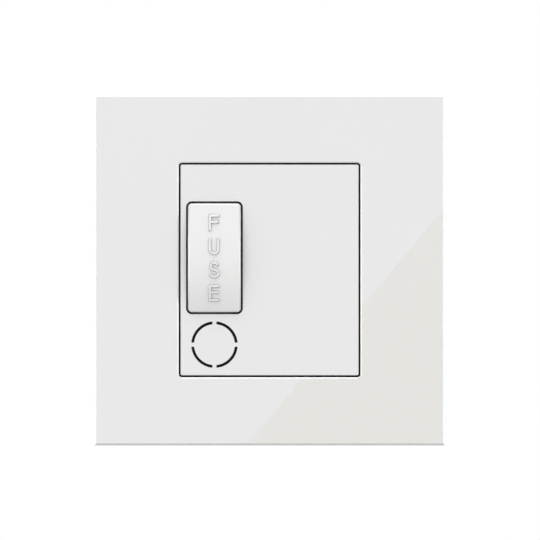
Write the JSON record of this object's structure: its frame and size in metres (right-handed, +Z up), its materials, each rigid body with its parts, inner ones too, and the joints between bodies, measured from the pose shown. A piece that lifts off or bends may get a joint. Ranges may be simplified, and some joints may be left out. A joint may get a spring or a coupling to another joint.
{
  "type": "fused spur unit",
  "caption": "Square flush wall plate with a matt centre module, a pull-out fuse carrier with a bowed front, a round flex knock-out, and screw terminals and a cord clamp behind.",
  "frame": {"origin": "midway between the two fixing slots, on the wall's surface, which is the back of the steel frame", "axes": "+X to the right as the user sees it, +Y into the wall, +Z up"},
  "size_m": [0.086, 0.029, 0.086],
  "materials": {
    "gloss_white": "gloss",
    "matt_white": "matt",
    "satin_white": "satin",
    "dark_moulding": "matt",
    "pale_moulding": "satin",
    "zinc_steel": "passivated zinc",
    "terminal_brass": "machined",
    "contact_strip": "rolled sheet",
    "plated_cap": "nickel plate",
    "ceramic": "fired ceramic",
    "screw_steel": "bright zinc",
    "screw_brass": "turned"
  },
  "bodies": {
    "spur_unit": {"square_plate": "gloss_white", "centre_plate": "matt_white", "support_frame": "zinc_steel", "front_moulding": "dark_moulding", "rear_moulding": "pale_moulding", "live_supply_jaw": "contact_strip", "live_load_jaw": "contact_strip", "neutral_link": "contact_strip", "earth_link": "contact_strip", "terminal_screws": "screw_brass", "housing_screws": "screw_steel", "cord_clamp": "pale_moulding", "clamp_screws": "screw_steel", "live_supply_terminal": "terminal_brass", "neutral_supply_terminal": "terminal_brass", "earth_supply_terminal": "terminal_brass", "live_load_terminal": "terminal_brass", "neutral_load_terminal": "terminal_brass", "earth_load_terminal": "terminal_brass"},
    "carrier": {"fuse_carrier": "satin_white", "fuse_tube": "ceramic", "fuse_cap_upper": "plated_cap", "fuse_cap_lower": "plated_cap"}
  },
  "joints": [
    {"name": "carrier_slide", "type": "slide", "parent": "spur_unit", "child": "carrier", "axis": [0, -1, 0], "range_m": [0, 0.015]}
  ]
}
